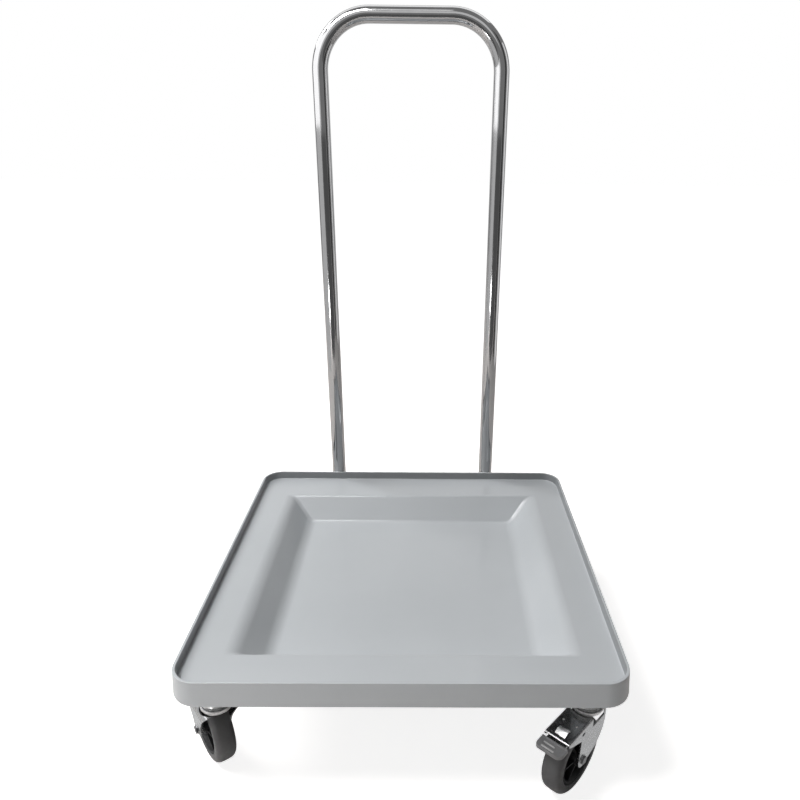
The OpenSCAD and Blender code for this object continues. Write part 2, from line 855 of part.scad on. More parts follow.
// Steel lever: barrel on the pivot pin, blade out to the pad, and the shoe that meets the tyre
module brake_lever() {
    blade_out = plate_reach - pivot_x + pedal_out - 6;
    color(zinc)
        difference() {
            union() {
                translate([pivot_x, 0, pivot_z])
                    rotate([90, 0, 0])
                        cylinder(r = barrel_r, h = 2 * barrel_half, center = true);
                pedal_frame()
                    lever_blade(0, blade_out);
                translate([pivot_x + shoe_reach * cos(shoe_aim), 0, pivot_z + shoe_reach * sin(shoe_aim)])
                    rotate([90, 0, 0])
                        cylinder(r = shoe_nose_r, h = 2 * shoe_half, center = true);
            }
            translate([pivot_x, 0, pivot_z])
                rotate([90, 0, 0])
                    cylinder(r = pivot_pin_r + running_gap, h = 2 * fork_half_w, center = true);
        }
}

// Plastic pad moulded over the lever's blade, with a groove and two grip ribs across it
module pedal_pad() {
    in_x = plate_reach - pivot_x + pad_gap;
    out_x = plate_reach - pivot_x + pedal_out;
    low = blade_mid - pedal_t / 2;
    half = pedal_w / 2;
    color(pedal_grey)
        pedal_frame()
            difference() {
                union() {
                    translate([in_x, -half, low])
                        cube([out_x - in_x - pad_corner_r, pedal_w, pedal_t]);
                    translate([in_x, -half + pad_corner_r, low])
                        cube([out_x - in_x, pedal_w - 2 * pad_corner_r, pedal_t]);
                    for (s = [-1, 1])
                        translate([out_x - pad_corner_r, s * (half - pad_corner_r), low])
                            cylinder(r = pad_corner_r, h = pedal_t);
                    for (back = [3.5, 11.5])
                        translate([out_x - back - pedal_rib_w / 2, -rib_len / 2, low + pedal_t - 0.5])
                            cube([pedal_rib_w, rib_len, pedal_rib_h + 0.5]);
                }
                translate([in_x + 2, -half - cut, low + pedal_t - pedal_groove_h])
                    cube([pedal_groove_w, pedal_w + 2 * cut, pedal_groove_h + cut]);
                lever_blade(running_gap, out_x - 6);
            }
}

// Puts a caster piece at its corner, turned the way that caster trails
module place(c) {
    translate([c[1] * caster_x, c[2] * caster_y, 0])
        rotate([0, 0, c[3]])
            children();
}

module caster_fork(braked) {
    if (braked)
        brake_fork();
    else
        plain_fork();
}

tray();
handle();
handle_bolts();
handle_nuts();
caster_inserts();
for (c = CASTERS) {
    place(c) upper_race();
    place(c) kingpin();
    place(c) caster_fork(c[4]);
    place(c) ball_race();
    place(c) axle_bolt(seat_out(c[4]));
    place(c) axle_nut(seat_out(c[4]));
    place(c) axle_sleeve();
    place(c) wheel_core();
    place(c) tyre();
    if (c[4]) {
        place(c) brake_spring();
        place(c) pedal_pin();
        place(c) brake_lever();
        place(c) pedal_pad();
    }
}
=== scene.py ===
import math

import bmesh
import bpy
from mathutils import Matrix, Vector


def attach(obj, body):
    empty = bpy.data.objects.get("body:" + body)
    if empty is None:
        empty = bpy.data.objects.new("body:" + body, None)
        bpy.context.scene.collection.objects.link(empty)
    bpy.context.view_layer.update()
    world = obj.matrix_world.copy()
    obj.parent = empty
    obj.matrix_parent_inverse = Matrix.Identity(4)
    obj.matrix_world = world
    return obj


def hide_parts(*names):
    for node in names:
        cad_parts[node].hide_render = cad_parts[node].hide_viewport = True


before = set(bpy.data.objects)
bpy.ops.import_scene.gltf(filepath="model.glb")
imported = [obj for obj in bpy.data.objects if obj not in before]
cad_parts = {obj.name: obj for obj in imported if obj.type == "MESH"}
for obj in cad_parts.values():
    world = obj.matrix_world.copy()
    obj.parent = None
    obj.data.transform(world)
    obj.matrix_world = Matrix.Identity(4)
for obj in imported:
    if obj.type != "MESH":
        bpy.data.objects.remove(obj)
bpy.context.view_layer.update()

# Sizes are in millimetres, as in the part. The origin is on the floor under the tray,
# and the front faces -Y.
MM = 0.001

# tray: rim, skirt and deck
TRAY_HALF = 270.0
CORNER_R = 32.0
RIM_Z = 176.0
RIM_T = 3.8
SKIRT_Z = 142.5
FLARE = 2.5
DECK_Z = 163.0
WALL = 4.0
UNDER_Z = DECK_Z - WALL
# the well: half size at the deck, shoulder radius, foot radius and draft of its walls
WELL_DEPTH = 37.0
WELL_Z = DECK_Z - WELL_DEPTH
WELL_SIDE = (210.3, 28.0, 24.6, math.radians(43.0))
WELL_BACK = (202.3, 8.0, 8.0, math.radians(39.0))
WELL_FRONT = (207.0, 7.0, 7.0, math.radians(36.0))
WELL_CORNER_R = 6.5
# ribs under the tray, and the bosses that hold the casters
RIB_T = 3.0
RIB_PITCH = 62.0
RIB_DEPTH = 12.0
FLOOR_RIB_DEPTH = 5.0
BOSS_R = 18.0
BOSS_BORE_R = 9.05
BOSS_Z = 118.0
BOSS_TOP = 160.0
WEB_IN = 16.0

# handle, and the sockets behind the skirt that hold it
TUBE_R = 12.0
TUBE_WALL = 1.5
TUBE_END_Z = 129.5
HANDLE_HALF = 137.0
HANDLE_Y = 281.5
BAR_Z = 918.0
BEND_R = 76.0
SOCKET_R = 17.5
SOCKET_BORE_R = 12.05
SOCKET_REACH = 12.2
SOCKET_Z = 125.5
SOCKET_TOP = 160.5
DRAIN_R = 3.0
BOLT_Z = 142.5
BOLT_HOLE_R = 3.05
NUT_PAD_R = 8.0
NUT_PAD_Y = 262.0

# casters, each in its own axes: the kingpin is the Z axis and the fork trails along +X
CASTER_X = 229.0
CASTER_Y = 228.0
WHEEL_R = 50.0
TRAIL = 30.0
TREAD_HALF = 13.0
TREAD_ROUND = 7.5
CORE_R = 36.5
HUB_HALF = 13.4
SPOKES = 6
SHEET = 2.3
PLATE_Z = 104.0
PLATE_UNDER = PLATE_Z - SHEET
HEAD_R = 20.5
BOWL_R = 6.0
DISH_Z = 110.0
KINGPIN_HOLE_R = 6.05
AXLE_HOLE_R = 3.05
AXLE_SEAT_R = 6.5
AXLE_SEAT_IN = 14.15
FOOT_R = 10.5
LEG_END_Z = 37.0
# the braked fork, its pedal's pin, and the plain fork
FORK_HALF = 17.4
REACH = 69.5
HEM_R = 0.9
TONGUE_SLOT_X = (48.5, 64.0)
TONGUE_SLOT_HALF = 7.6
NICK_X = (32.5, 38.5)
NICK_Z = (93.2, 97.0)
PIP_R = 1.6
PIP_X = 39.5
PIP_Y = 9.0
PIN_HOLE_R = 2.05
PIVOT_X = 57.0
PIVOT_Z = 98.0
PEDAL_SLOPE = math.radians(4.0)
FREE_HALF = 24.5
FREE_BEND_R = 8.0
FREE_REACH = 39.0
FREE_SEAT_OUT = 21.07
SPLAY = math.radians(5.0)

# name, x sign, y sign, trailing direction in degrees, braked
CASTERS = (
    ("front_left", -1, -1, 127, False),
    ("front_right", 1, -1, 227.5, True),
    ("rear_left", -1, 1, 300, True),
    ("rear_right", 1, 1, 307, False),
)


# ---------------------------------------------------------------- camera
PICTURE = 800.0
SENSOR = 36.0
FOCAL_PX = 687.8159
CENTRE_PX = (434.4849, 424.4029)
EYE = (0.029167, -0.88106, 0.75156)
YAW, PITCH, ROLL = (math.radians(a) for a in (0.5816, 22.6119, -0.599))


def make_camera():
    """Pinhole camera in metres, as it was fitted to the tray's outline."""
    ahead = Vector((math.sin(YAW) * math.cos(PITCH), math.cos(YAW) * math.cos(PITCH), -math.sin(PITCH)))
    right = Vector((math.cos(YAW), -math.sin(YAW), 0.0))
    down = ahead.cross(right)
    image_x = right * math.cos(ROLL) + down * math.sin(ROLL)
    image_y = -right * math.sin(ROLL) + down * math.cos(ROLL)
    cam = bpy.data.cameras.new("camera")
    cam.sensor_width = SENSOR
    cam.lens = FOCAL_PX * SENSOR / PICTURE
    cam.shift_x = (PICTURE / 2 - CENTRE_PX[0]) / PICTURE
    cam.shift_y = (CENTRE_PX[1] - PICTURE / 2) / PICTURE
    cam.clip_start = 0.05
    cam.clip_end = 60.0
    ob = bpy.data.objects.new("camera", cam)
    turn = Matrix((image_x, -image_y, -ahead)).transposed().to_4x4()
    ob.matrix_world = Matrix.Translation(Vector(EYE)) @ turn
    bpy.context.scene.collection.objects.link(ob)
    bpy.context.scene.camera = ob


make_camera()


# ---------------------------------------------------------------- materials
WHITE = (1, 1, 1, 1)
TRAY_DARK = (0.502, 0.526, 0.545)
TRAY_LIGHT = (0.532, 0.555, 0.574)
SCUFF = (0.66, 0.67, 0.68)
# near black for the painted shade under the tray and inside its rim
PAINTED_SHADE = (0.07, 0.07, 0.07)
# heights in metres between which the painted shade inside the rim fades in
RIM_SHADE_FROM = 0.1632
RIM_SHADE_TO = 0.1645


class Nodes:
    """Small helper that adds and links shader nodes of one material."""

    def __init__(self, name):
        self.mat = bpy.data.materials.new(name)
        self.mat.use_nodes = True
        self.tree = self.mat.node_tree
        self.bsdf = self.tree.nodes["Principled BSDF"]
        self.out = self.tree.nodes["Material Output"]

    def add(self, kind, **values):
        node = self.tree.nodes.new(kind)
        for key, value in values.items():
            setattr(node, key, value)
        return node

    def link(self, a, b):
        self.tree.links.new(a, b)

    def feed(self, value, socket):
        """Links an output to the socket, or sets the socket to a plain value."""
        if hasattr(value, "links"):
            self.link(value, socket)
        elif isinstance(value, tuple) and len(value) == 3:
            socket.default_value = (*value, 1.0)
        else:
            socket.default_value = value

    def set(self, **values):
        """Sets inputs of the principled shader, with _ for each space in their names."""
        for key, value in values.items():
            self.feed(value, self.bsdf.inputs[key.replace("_", " ")])

    def coords(self, scale=(1, 1, 1), rotate=(0, 0, 0)):
        tex = self.add("ShaderNodeTexCoord")
        mapping = self.add("ShaderNodeMapping")
        mapping.inputs["Scale"].default_value = scale
        mapping.inputs["Rotation"].default_value = rotate
        self.link(tex.outputs["Object"], mapping.inputs["Vector"])
        return mapping.outputs["Vector"]

    def noise(self, vector, scale, detail=4.0, rough=0.5):
        n = self.add("ShaderNodeTexNoise")
        n.inputs["Scale"].default_value = scale
        n.inputs["Detail"].default_value = detail
        n.inputs["Roughness"].default_value = rough
        self.link(vector, n.inputs["Vector"])
        return n.outputs["Fac"]

    def remap(self, fac, lo, hi, from_lo=0.0, from_hi=1.0):
        m = self.add("ShaderNodeMapRange")
        m.inputs["From Min"].default_value = from_lo
        m.inputs["From Max"].default_value = from_hi
        m.inputs["To Min"].default_value = lo
        m.inputs["To Max"].default_value = hi
        self.link(fac, m.inputs["Value"])
        return m.outputs["Result"]

    def mix(self, fac, a, b):
        m = self.add("ShaderNodeMix", data_type="RGBA")
        # the factor and the two colours of a colour mix
        for value, index in ((fac, 0), (a, 6), (b, 7)):
            self.feed(value, m.inputs[index])
        return m.outputs[2]

    def math(self, op, a, b):
        m = self.add("ShaderNodeMath", operation=op)
        self.feed(a, m.inputs[0])
        self.feed(b, m.inputs[1])
        return m.outputs[0]

    def bump(self, height, strength, distance):
        b = self.add("ShaderNodeBump")
        b.inputs["Strength"].default_value = strength
        b.inputs["Distance"].default_value = distance
        self.link(height, b.inputs["Height"])
        self.link(b.outputs["Normal"], self.bsdf.inputs["Normal"])


def tray_material():
    """Pale grey moulded plastic: fine grain, slight scuffs, and painted shade on what faces down and on the inner face
    of the rim.
    """
    n = Nodes("tray_plastic")
    v = n.coords()
    cloud = n.noise(v, 6.0, 3.0)
    scuff = n.noise(n.coords(scale=(1, 7, 1), rotate=(0, 0, 0.5)), 26.0, 6.0, 0.7)
    base = n.mix(n.remap(cloud, 0.0, 1.0, 0.3, 0.7), TRAY_DARK, TRAY_LIGHT)
    pale = n.mix(n.remap(scuff, 0.0, 0.12, 0.62, 0.75), base, SCUFF)
    # painted shade on what faces the floor, darker the more it faces down
    geometry = n.add("ShaderNodeNewGeometry")
    facing = n.add("ShaderNodeSeparateXYZ")
    n.link(geometry.outputs["Normal"], facing.inputs[0])
    under = n.remap(facing.outputs["Z"], 0.85, 0.0, -0.9, -0.4)
    # painted shade on the inner face of the rim, above the deck
    inward = n.add("ShaderNodeVectorMath", operation="DOT_PRODUCT")
    n.link(n.coords(scale=(1, 1, 0)), inward.inputs[0])
    n.link(geometry.outputs["Normal"], inward.inputs[1])
    height = n.add("ShaderNodeSeparateXYZ")
    n.link(v, height.inputs[0])
    rim_shade = n.math("MULTIPLY", n.remap(inward.outputs["Value"], 0.6, 0.0, -0.2, -0.05),
                   n.remap(height.outputs["Z"], 0.0, 1.0, RIM_SHADE_FROM, RIM_SHADE_TO))
    # painted shade on the rim's inner face
    rim_shaded = n.mix(rim_shade, pale, PAINTED_SHADE)
    # the base colour takes the painted shade on what faces down
    n.set(Base_Color=n.mix(under, rim_shaded, PAINTED_SHADE), Roughness=n.remap(scuff, 0.32, 0.42, 0.3, 0.8),
          Specular_IOR_Level=0.3, Coat_Weight=0.5, Coat_Roughness=0.12)
    grain = n.noise(v, 900.0, 2.0)
    wave = n.noise(v, 12.0, 1.0)
    n.bump(n.math("ADD", n.math("MULTIPLY", grain, 0.05), n.math("MULTIPLY", wave, 0.5)), 0.35, 0.0006)
    return n.mat


def metal_material(name, colour, rough, streak, mottled, axis_scale=(1, 1, 1), metallic=1.0):
    """Plated or polished metal with faint streaks, mottling and fine scratches; its pale, half-matt variants carry
    painted highlight and sheen.
    """
    n = Nodes(name)
    cloud = n.noise(n.coords(), 55.0, 5.0, 0.65)
    dark = tuple(c * (1.0 - mottled) for c in colour)
    lines = n.noise(n.coords(scale=axis_scale), 900.0, 3.0, 0.6)
    n.set(Base_Color=n.mix(n.remap(cloud, 0.0, 1.0, 0.35, 0.65), dark, colour), Metallic=metallic,
          Roughness=n.remap(lines, rough * 0.8, rough * 1.25, 0.3, 0.7))
    n.bump(lines, streak, 0.00004)
    return n.mat


def tyre_material():
    """Grey soft tread: matt, faintly grained, a little paler where it wears."""
    n = Nodes("tyre_rubber")
    v = n.coords()
    wear_and_highlight = n.remap(n.noise(v, 40.0, 4.0), 0.0, 1.0, 0.3, 0.7)
    n.set(Base_Color=n.mix(wear_and_highlight, (0.082, 0.082, 0.084), (0.108, 0.108, 0.110)), Specular_IOR_Level=0.4,
          Roughness=n.remap(n.noise(v, 300.0, 3.0), 0.5, 0.68, 0.3, 0.7))
    n.bump(n.noise(v, 1400.0, 2.0), 0.25, 0.0002)
    return n.mat


def plastic_material(name, dark, light, rough, specular=0.45):
    """Moulded plastic with fine spark-eroded grain."""
    n = Nodes(name)
    v = n.coords()
    n.set(Base_Color=n.mix(n.remap(n.noise(v, 60.0, 4.0), 0.0, 1.0, 0.3, 0.7), dark, light),
          Roughness=n.remap(n.noise(v, 420.0, 2.0), rough - 0.06, rough + 0.08, 0.3, 0.7),
          Specular_IOR_Level=specular)
    n.bump(n.noise(v, 1600.0, 2.0), 0.3, 0.0002)
    return n.mat


MAT = {
    "tray": tray_material(),
    "handle": metal_material("handle_steel", (0.43, 0.43, 0.435), 0.08, 0.10, 0.06, axis_scale=(1, 1, 0.02)),
    "zinc": metal_material("zinc_steel", (0.43, 0.435, 0.44), 0.24, 0.25, 0.18),
    # paler, half-matt copy of the zinc: mottled plating, with painted sheen for the bright reflections on the bowl and
    # upper race
    "head": metal_material("head_steel_painted_sheen", (0.86, 0.86, 0.86), 0.30, 0.30, 0.50, metallic=0.45),
    "dark": metal_material("axle_steel", (0.15, 0.15, 0.155), 0.34, 0.25, 0.25),
    # near white, half-matt steel: painted highlight on the spring, the hem and the pips
    "bright": metal_material("bright_steel", (0.95, 0.95, 0.95), 0.25, 0.15, 0.04, metallic=0.25),
    "tyre": tyre_material(),
    "core": plastic_material("core_plastic", (0.006, 0.006, 0.007), (0.012, 0.012, 0.013), 0.55, specular=0.25),
    # paler copy of the pedal plastic: painted highlight on the pad's grip ribs
    "wear_and_highlight": plastic_material("pedal_rib_highlight", (0.40, 0.40, 0.40), (0.52, 0.52, 0.52), 0.30),
    "pedal": plastic_material("pedal_plastic", (0.17, 0.17, 0.173), (0.21, 0.21, 0.213), 0.40),
}


# ---------------------------------------------------------------- mesh helpers
# corners of a box run over x, then y, then z, with the lower one first
BOX_FACES = ((0, 1, 3, 2), (4, 6, 7, 5), (0, 4, 5, 1), (2, 3, 7, 6), (0, 2, 6, 4), (1, 5, 7, 3))


def new_object(name, bm, key, smooth=True):
    mesh = bpy.data.meshes.new(name)
    bmesh.ops.recalc_face_normals(bm, faces=bm.faces)
    bm.to_mesh(mesh)
    bm.free()
    ob = bpy.data.objects.new(name, mesh)
    bpy.context.scene.collection.objects.link(ob)
    ob.data.materials.append(MAT[key])
    for p in mesh.polygons:
        p.use_smooth = smooth
    return ob


def settle(ob, body, node):
    """Rides on a body, and stands for the node given, which it hides."""
    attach(ob, body)
    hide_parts(node)


def settle_tray(ob):
    settle(ob, "dolly", "tray")


def weighted(ob):
    """Keeps flat faces flat beside small rounded edges."""
    ob.modifiers.new("weighted", "WEIGHTED_NORMAL").keep_sharp = True


def bevelled(ob, width, segments, angle=30.0):
    """Rounds the edges that are sharper than the angle."""
    m = ob.modifiers.new("bevel", "BEVEL")
    m.width = width * MM
    m.segments = segments
    m.limit_method = "ANGLE"
    m.angle_limit = math.radians(angle)
    m.use_clamp_overlap = True
    weighted(ob)


def split_edges(ob, angle):
    ob.modifiers.new("edges", "EDGE_SPLIT").split_angle = math.radians(angle)


def apply_modifiers(ob):
    deps = bpy.context.evaluated_depsgraph_get()
    mesh = bpy.data.meshes.new_from_object(ob.evaluated_get(deps))
    old = ob.data
    ob.modifiers.clear()
    ob.data = mesh
    bpy.data.meshes.remove(old)


def boolean(ob, bm, key, operation="DIFFERENCE"):
    """Cuts, adds or keeps a shape; the key is the material of the faces that it leaves."""
    tool = new_object("tool", bm, key)
    m = ob.modifiers.new("cut", "BOOLEAN")
    m.operation = operation
    m.object = tool
    m.solver = "EXACT"
    apply_modifiers(ob)
    bpy.data.objects.remove(tool)


def add_rows(bm, rings):
    """One row of vertices for each ring, in metres from millimetres."""
    return [[bm.verts.new(Vector(p) * MM) for p in ring] for ring in rings]


def band(bm, a, b):
    """Quads between two closed rows of equal counts."""
    for i in range(len(a)):
        j = (i + 1) % len(a)
        bm.faces.new((a[i], a[j], b[j], b[i]))


def loft(rings):
    """Skin through rings of equal counts, the last joined to the first."""
    bm = bmesh.new()
    rows = add_rows(bm, rings)
    for a, b in zip(rows, rows[1:] + rows[:1]):
        band(bm, a, b)
    return bm


def revolve(profile, steps, origin=(0, 0, 0), axis="z"):
    """Closed profile of (radius, height) turned about an axis."""
    rings = []
    for i in range(steps):
        t = 2 * math.pi * i / steps
        ring = []
        for r, h in profile:
            p = (r * math.cos(t), r * math.sin(t), h) if axis == "z" else (r * math.cos(t), h, r * math.sin(t))
            ring.append((origin[0] + p[0], origin[1] + p[1], origin[2] + p[2]))
        rings.append(ring)
    return loft(rings)


def close_prism(bm, a, b):
    """Caps and sides between two equal rows of vertices."""
    bm.faces.new(a)
    bm.faces.new(list(reversed(b)))
    for i in range(len(a)):
        j = (i + 1) % len(a)
        bm.faces.new((a[j], a[i], b[i], b[j]))


def prism(outline, low, high, plane="xz"):
    """Outline extruded between two levels: xz outlines run along y, yz outlines along x."""
    bm = bmesh.new()

    def at(p, level):
        if plane == "xz":
            return p[0], level, p[1]
        if plane == "yz":
            return level, p[0], p[1]
        return p[0], p[1], level

    a, b = add_rows(bm, [[at(p, level) for p in outline] for level in (low, high)])
    close_prism(bm, a, b)
    return bm


def add_box(bm, corners):
    """Box over eight corners, in the order of BOX_FACES."""
    v = [bm.verts.new(Vector(c) * MM) for c in corners]
    for face in BOX_FACES:
        bm.faces.new([v[i] for i in face])


def straight_box(bm, lo, hi):
    add_box(bm, [(x, y, z) for x in (lo[0], hi[0]) for y in (lo[1], hi[1]) for z in (lo[2], hi[2])])


def rectangle(x0, x1, z0, z1):
    return [(x0, z0), (x1, z0), (x1, z1), (x0, z1)]


def arc(cx, cy, r, a0, a1, steps):
    angles = [math.radians(a0 + (a1 - a0) * i / steps) for i in range(steps + 1)]
    return [(cx + r * math.cos(t), cy + r * math.sin(t)) for t in angles]


def circle(cx, cy, r, count):
    return arc(cx, cy, r, 0, 360 - 360 / count, count - 1)


# ---------------------------------------------------------------- tray
# points of each ring at a corner and along a side, and the signs of its corners in turn
RING_CORNER = 10
RING_SIDE = 12
RING_SIGNS = ((1, 1), (-1, 1), (-1, -1), (1, -1))


def rect_ring(a, b, r, z, shift=0.0):
    """Rounded rectangle of half sizes a and b, always with the same count of points."""
    corners = [arc(sx * (a - r), sy * (b - r), r, 90 * q, 90 * q + 90, RING_CORNER)
               for q, (sx, sy) in enumerate(RING_SIGNS)]
    pts = []
    for corner, following in zip(corners, corners[1:] + corners[:1]):
        pts += corner
        (x0, y0), (x1, y1) = corner[-1], following[0]
        for k in range(1, RING_SIDE):
            f = k / RING_SIDE
            pts.append((x0 + (x1 - x0) * f, y0 + (y1 - y0) * f))
    return [(x, y + shift, z) for x, y in pts]


def well_half(z, wall):
    """Half size of the well at a height, down the shoulder's arc, the slope and the foot's arc."""
    half, top_r, foot_r, draft = wall
    beta = math.pi / 2 - draft
    top_h = top_r * (1 - math.cos(beta))
    foot_h = foot_r * (1 - math.cos(beta))
    down, up = DECK_Z - z, z - WELL_Z
    foot = half - WELL_DEPTH * math.tan(draft) - foot_r * math.tan(beta / 2)
    edge = half + top_r * math.tan(beta / 2)
    if down < top_h:
        return edge - top_r * math.sin(math.acos(min(1.0, 1 - max(down, 0.0) / top_r)))
    if up < foot_h:
        return foot + foot_r * math.sin(math.acos(min(1.0, 1 - max(up, 0.0) / foot_r)))
    return half - down * math.tan(draft)


def well_levels():
    """Heights of the well's rings, with steps enough for the arcs of every wall."""
    levels = set()
    for wall, steps in ((WELL_SIDE, 14), (WELL_BACK, 7), (WELL_FRONT, 5)):
        beta = math.pi / 2 - wall[3]
        for i in range(steps + 1):
            rise = 1 - math.cos(beta * i / steps)
            levels.add(round(DECK_Z - wall[1] * rise, 3))
            levels.add(round(WELL_Z + wall[2] * rise, 3))
    return sorted(levels, reverse=True)


def well_ring(z, skin=0.0, drop=0.0, share=1.0):
    a, back, front = (well_half(z, wall) * share + skin for wall in (WELL_SIDE, WELL_BACK, WELL_FRONT))
    return rect_ring(a, (back + front) / 2, WELL_CORNER_R + skin, z - drop, (back - front) / 2)


def rim_ring(o, z):
    return rect_ring(TRAY_HALF + o, TRAY_HALF + o, CORNER_R + o, z)


def make_tray():
    """One moulding: from inside the skirt's foot over the rim and the deck into the well, and back below."""
    foot, foot_mid = 1.2, 0.35
    edge, edge_mid = 0.6, 0.18
    # distance outside the rim's top, and height
    section = [
        # foot of the skirt
        (FLARE - WALL, SKIRT_Z + 1.2), (FLARE - WALL + 0.4, SKIRT_Z + 0.4), (FLARE - WALL + 1.2, SKIRT_Z),
        (FLARE - foot, SKIRT_Z), (FLARE - foot_mid, SKIRT_Z + foot_mid), (FLARE, SKIRT_Z + foot),
        # outer face and top of the rim
        (FLARE / 2, (SKIRT_Z + RIM_Z) / 2), (0.0, RIM_Z - edge), (-edge_mid, RIM_Z - edge_mid), (-edge, RIM_Z),
        (-RIM_T + edge, RIM_Z), (-RIM_T + edge_mid, RIM_Z - edge_mid), (-RIM_T, RIM_Z - edge),
        # inner face, fillet and deck
        (-RIM_T - 0.6, DECK_Z + 1.0), (-RIM_T - 0.9, DECK_Z + 0.3), (-RIM_T - 1.6, DECK_Z), (-RIM_T - 8.0, DECK_Z),
    ]
    floor_share = 0.9
    rings = [rim_ring(o, z) for o, z in section] + [well_ring(z) for z in well_levels()]
    rings.append(well_ring(WELL_Z, share=floor_share))
    skin = WALL * (1 - math.sin(WELL_SIDE[3])) / math.cos(WELL_SIDE[3])
    under = [well_ring(WELL_Z, drop=WALL, share=floor_share)]
    under += [well_ring(z, skin, WALL) for z in reversed(well_levels())]
    under += [rim_ring(-WALL - 4.0, UNDER_Z), rim_ring(-WALL, UNDER_Z)]
    bm = bmesh.new()
    upper, lower = add_rows(bm, rings), add_rows(bm, under)
    for rows in (upper, lower, [lower[-1], upper[0]]):
        for a, b in zip(rows, rows[1:]):
            band(bm, a, b)
    bm.faces.new(upper[-1])
    bm.faces.new(list(reversed(lower[0])))
    ob = new_object("tray_shell", bm, "tray")
    weighted(ob)
    settle_tray(ob)


def add_deck_rib(bm, across, sign, wall, along_y):
    """Rib from the skirt to the well, whose end follows the well's wall, so that none shows inside it."""
    levels = [UNDER_Z - RIB_DEPTH * j / 6 for j in range(7)]
    pts = [(TRAY_HALF - 1.6, UNDER_Z)]
    pts += [(well_half(min(z + WALL, DECK_Z), wall) + 1.5, z) for z in levels]
    pts.append((TRAY_HALF - 1.2, UNDER_Z - RIB_DEPTH))
    sides = []
    for side in (across - RIB_T / 2, across + RIB_T / 2):
        sides.append([(side, sign * u, z) if along_y else (sign * u, side, z) for u, z in pts])
    close_prism(bm, *add_rows(bm, sides))


def make_ribs():
    """Ribs under the deck and under the well's floor."""
    bm = bmesh.new()
    for i in range(-3, 4):
        for sign, wall in ((-1, WELL_FRONT), (1, WELL_BACK)):
            add_deck_rib(bm, i * RIB_PITCH, sign, wall, True)
            add_deck_rib(bm, i * RIB_PITCH, sign, WELL_SIDE, False)
    half_x = well_half(WELL_Z, WELL_SIDE) + 6.0
    half_y = well_half(WELL_Z, WELL_BACK) + 2.0
    top = WELL_Z - WALL
    low = top - FLOOR_RIB_DEPTH
    sink, step = 0.5, 0.02
    for i in range(-2, 3):
        c0, c1 = i * RIB_PITCH - RIB_T / 2, i * RIB_PITCH + RIB_T / 2
        straight_box(bm, (c0, -half_y, low), (c1, half_y, top + sink))
        straight_box(bm, (-half_x, c0, low + step), (half_x, c1, top + sink - step))
    ob = new_object("tray_ribs", bm, "tray", smooth=False)
    bevelled(ob, 0.5, 2)
    settle_tray(ob)


def make_bosses():
    """Corner bosses with two webs each, out to the skirt."""
    for name, sx, sy, _, _ in CASTERS:
        x, y = sx * CASTER_X, sy * CASTER_Y
        section = [(BOSS_BORE_R, BOSS_Z), (BOSS_R - 0.8, BOSS_Z), (BOSS_R - 0.2, BOSS_Z + 0.3), (BOSS_R, BOSS_Z + 1),
                   (BOSS_R, BOSS_TOP - 2), (BOSS_R + 2, BOSS_TOP), (BOSS_BORE_R, BOSS_TOP)]
        ob = new_object(name + "_boss", revolve(section, 64, (x, y, 0)), "tray")
        weighted(ob)
        settle_tray(ob)
        bm = bmesh.new()
        low, half, end = SKIRT_Z + 1, RIB_T / 2, TRAY_HALF - 0.5
        x0, x1 = sorted((x + sx * WEB_IN, sx * end))
        y0, y1 = sorted((y + sy * WEB_IN, sy * end))
        straight_box(bm, (x0, y - half, low), (x1, y + half, BOSS_TOP))
        straight_box(bm, (x - half, y0, low), (x + half, y1, BOSS_TOP))
        web = new_object(name + "_boss_webs", bm, "tray", smooth=False)
        bevelled(web, 0.5, 2)
        settle_tray(web)


def make_sockets():
    """Sockets behind the skirt that the handle's legs stand in, and the pads for their nuts."""
    for sign, side in ((-1, "left"), (1, "right")):
        x = sign * HANDLE_HALF
        # round behind, and flat where it meets the skirt
        behind = list(reversed(arc(0, 0, SOCKET_R, 0, 180, 40)))
        outline = [(-SOCKET_R, -SOCKET_REACH)] + behind + [(SOCKET_R, -SOCKET_REACH)]
        bm = prism([(x + u, HANDLE_Y + v) for u, v in outline], SOCKET_Z + 0.02, SOCKET_TOP, "xy")
        ob = new_object("socket_" + side, bm, "tray")
        # the tube's bore, open at the top, with a drain hole below it
        bore = [(0.001, 120), (DRAIN_R, 120), (DRAIN_R, TUBE_END_Z), (SOCKET_BORE_R, TUBE_END_Z),
                (SOCKET_BORE_R, 190), (0.001, 190)]
        boolean(ob, revolve(bore, 64, (x, HANDLE_Y, 0)), "tray")
        bevelled(ob, 1.2, 3)
        settle_tray(ob)
        section = [(BOLT_HOLE_R, NUT_PAD_Y), (NUT_PAD_R - 0.6, NUT_PAD_Y), (NUT_PAD_R, NUT_PAD_Y + 0.6),
                   (NUT_PAD_R, TRAY_HALF), (BOLT_HOLE_R, TRAY_HALF)]
        pad = revolve(section, 48, (x, 0, BOLT_Z), "y")
        settle_tray(new_object("nut_pad_" + side, pad, "tray", smooth=False))


